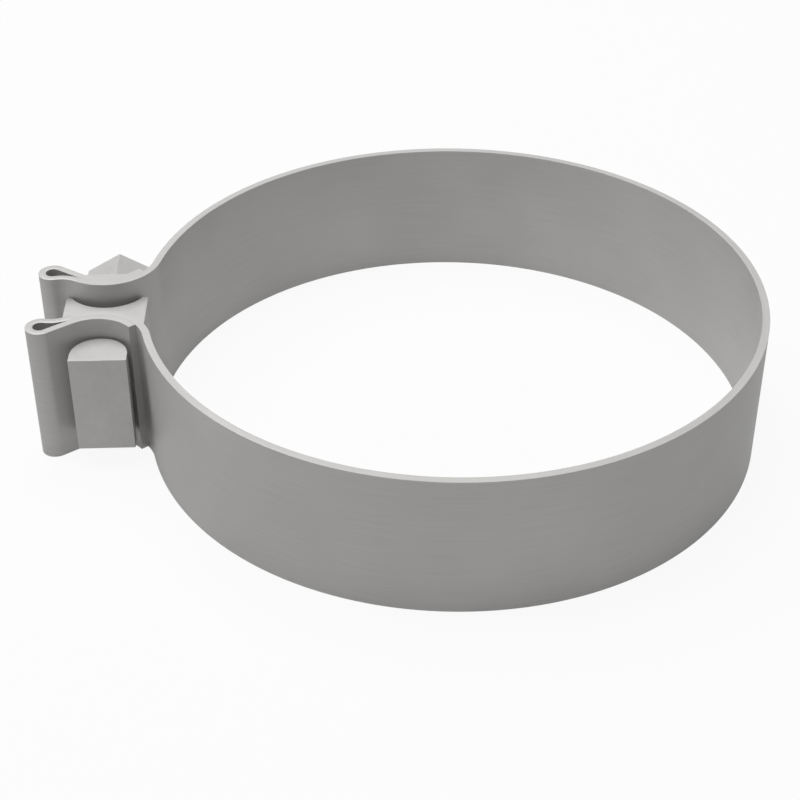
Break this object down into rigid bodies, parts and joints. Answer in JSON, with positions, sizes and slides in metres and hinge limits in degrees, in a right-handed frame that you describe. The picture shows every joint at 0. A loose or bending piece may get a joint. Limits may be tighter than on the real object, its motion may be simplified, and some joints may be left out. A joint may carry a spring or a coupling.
{
  "type": "exhaust clamp",
  "caption": "Single-bolt flat band clamp for a lap joint in an exhaust pipe: folded lugs, half-round headed bolt, hollow spacer block, half-round bar and flange nut.",
  "frame": {"origin": "on the ring's axis, at the lower edge of the band", "axes": "+Z along the pipe, from the edge that the clamp lies on; -X towards the lugs; +Y along the bolt, from its head to the nut"},
  "size_m": [0.1575, 0.1344, 0.0318],
  "materials": {
    "strap_steel": "cold-rolled stainless strip, matt",
    "bolt_steel": "forged and plated steel, matt",
    "spacer_steel": "drawn steel, cut to length, plated",
    "bar_steel": "drawn half-round bar, plated",
    "nut_steel": "cold-formed nut, plated"
  },
  "bodies": {
    "strap": {"band": "strap_steel"},
    "bolt": {"t_bolt": "bolt_steel"},
    "spacer": {"spacer_block": "spacer_steel"},
    "bar": {"clamp_bar": "bar_steel"},
    "nut": {"flange_nut": "nut_steel"}
  },
  "joints": [
    {"name": "bolt_float", "type": "slide", "parent": "strap", "child": "bolt", "axis": [0, 1, 0], "range_m": [-0.0004, 0.0004]},
    {"name": "spacer_slide", "type": "slide", "parent": "strap", "child": "spacer", "axis": [0, 1, 0], "range_m": [-0.0002, 0.0002]},
    {"name": "bar_travel", "type": "slide", "parent": "bolt", "child": "bar", "axis": [0, 1, 0], "range_m": [0, 0.01501]},
    {"name": "nut_turn", "type": "hinge", "parent": "bar", "child": "nut", "pos_m": [-0.07514, 0.02, 0.01588], "axis": [0, 1, 0], "range_deg": [0, 3600]}
  ],
  "couplings": [
    {"joint": "bar_travel", "follows": "nut_turn", "m_per_rad": 0.00023873}
  ]
}
